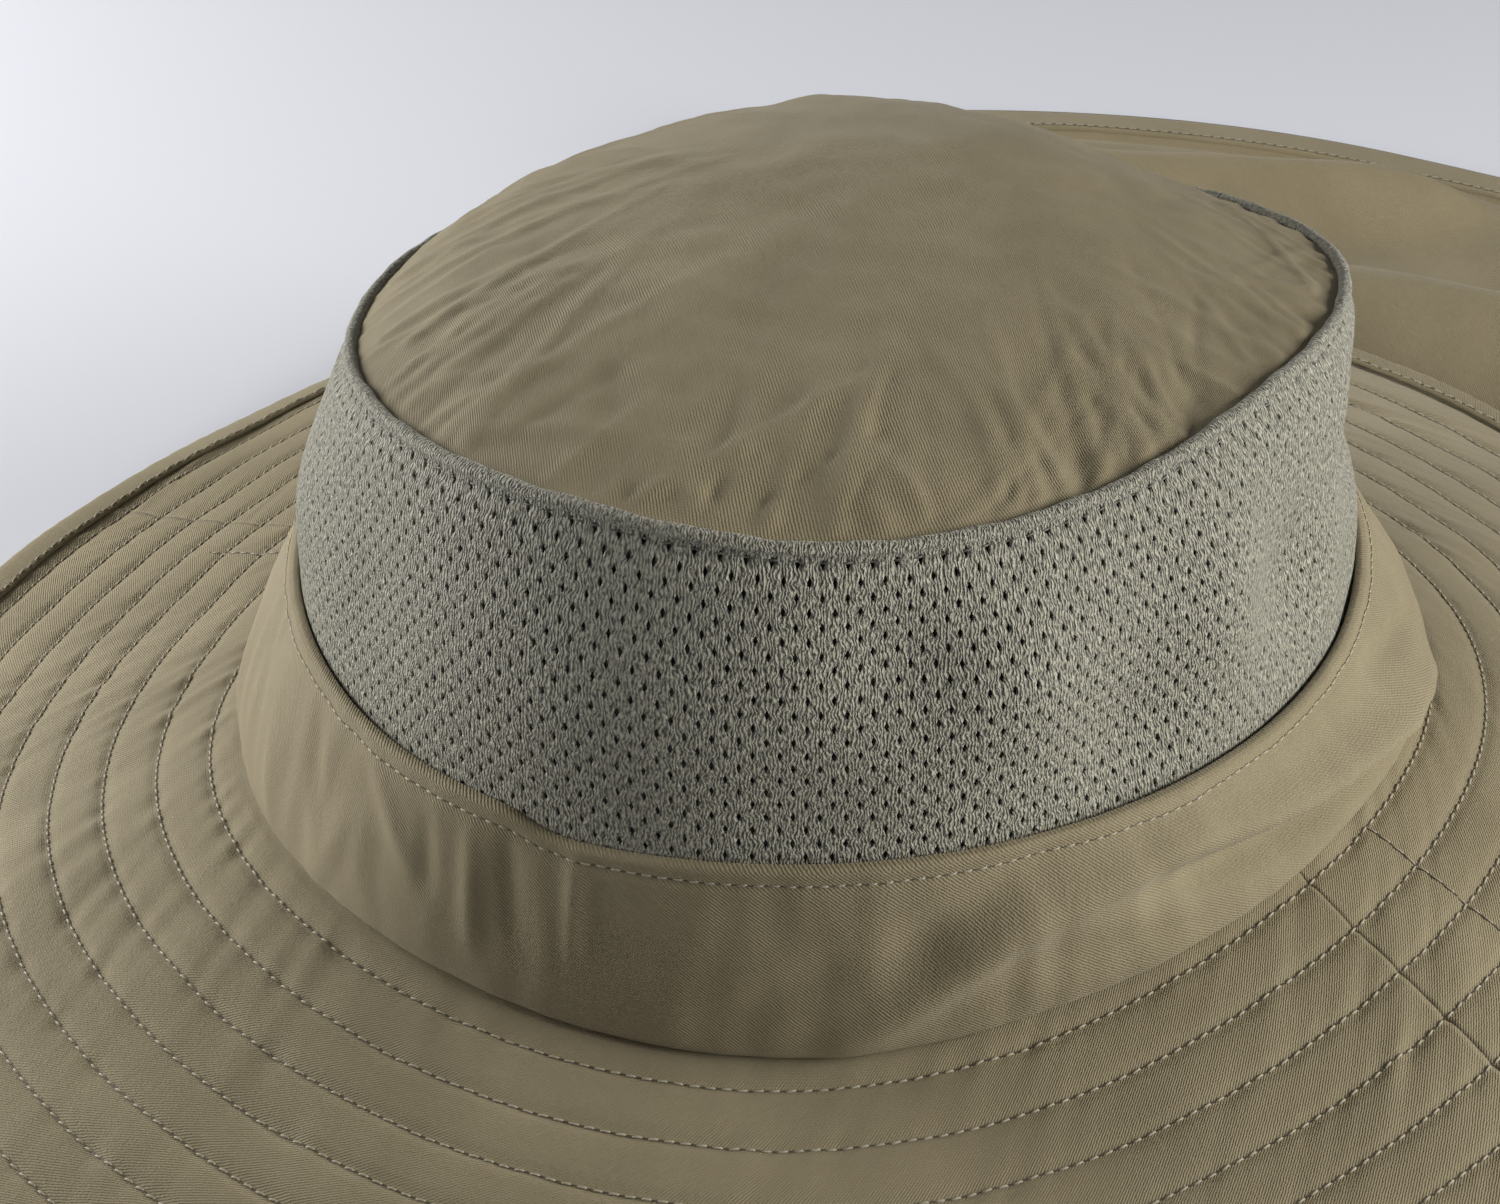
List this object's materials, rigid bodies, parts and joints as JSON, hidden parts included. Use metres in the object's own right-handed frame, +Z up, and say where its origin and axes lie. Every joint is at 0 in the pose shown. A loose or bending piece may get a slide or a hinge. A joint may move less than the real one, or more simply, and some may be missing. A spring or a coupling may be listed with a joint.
{
  "type": "boonie hat",
  "caption": "Soft sun hat with a domed cloth top, knit mesh crown sides, a wide spirally quilted brim with a bound edge, and a neck flap hinged under the rear of the brim.",
  "frame": {"origin": "on the table, under the middle of the head opening; the head comes in upwards through this point", "axes": "+Z up out of the table, the front of the hat is -Y, the neck flap is +Y and the wearer's left is +X"},
  "size_m": [0.358, 0.4791, 0.1279],
  "materials": {
    "woven_cloth": "matt twill weave, taupe khaki",
    "knit_mesh": "open knit mesh with small diamond holes, sage grey",
    "sweatband_cloth": "soft plain woven tape",
    "stiffener": "non-woven stiffener",
    "thread": "polyester sewing thread, paler than the cloth"
  },
  "bodies": {
    "root": {"crown_top_panel": "woven_cloth", "mesh_side_band": "knit_mesh", "crown_lower_band": "woven_cloth", "sweatband": "sweatband_cloth", "brim_top_front": "woven_cloth", "brim_top_rear": "woven_cloth", "brim_stiffener": "stiffener", "brim_under_front": "woven_cloth", "brim_under_rear": "woven_cloth", "brim_edge_binding": "woven_cloth", "lip_topstitch": "thread", "band_topstitch": "thread", "sweatband_stitch": "thread", "binding_stitch": "thread", "quilting_thread_top": "thread", "quilting_thread_under": "thread", "side_stitch_left": "thread", "side_stitch_right": "thread", "flap_sewn_edge": "woven_cloth"},
    "flap": {"neck_flap": "woven_cloth", "flap_edge_binding": "woven_cloth", "flap_hem_stitch": "thread"}
  },
  "joints": [
    {"name": "flap_fold", "type": "hinge", "parent": "root", "child": "flap", "pos_m": [0, 0.106, 0.01481], "axis": [1, 0, 0], "range_deg": [-85, 0]}
  ]
}
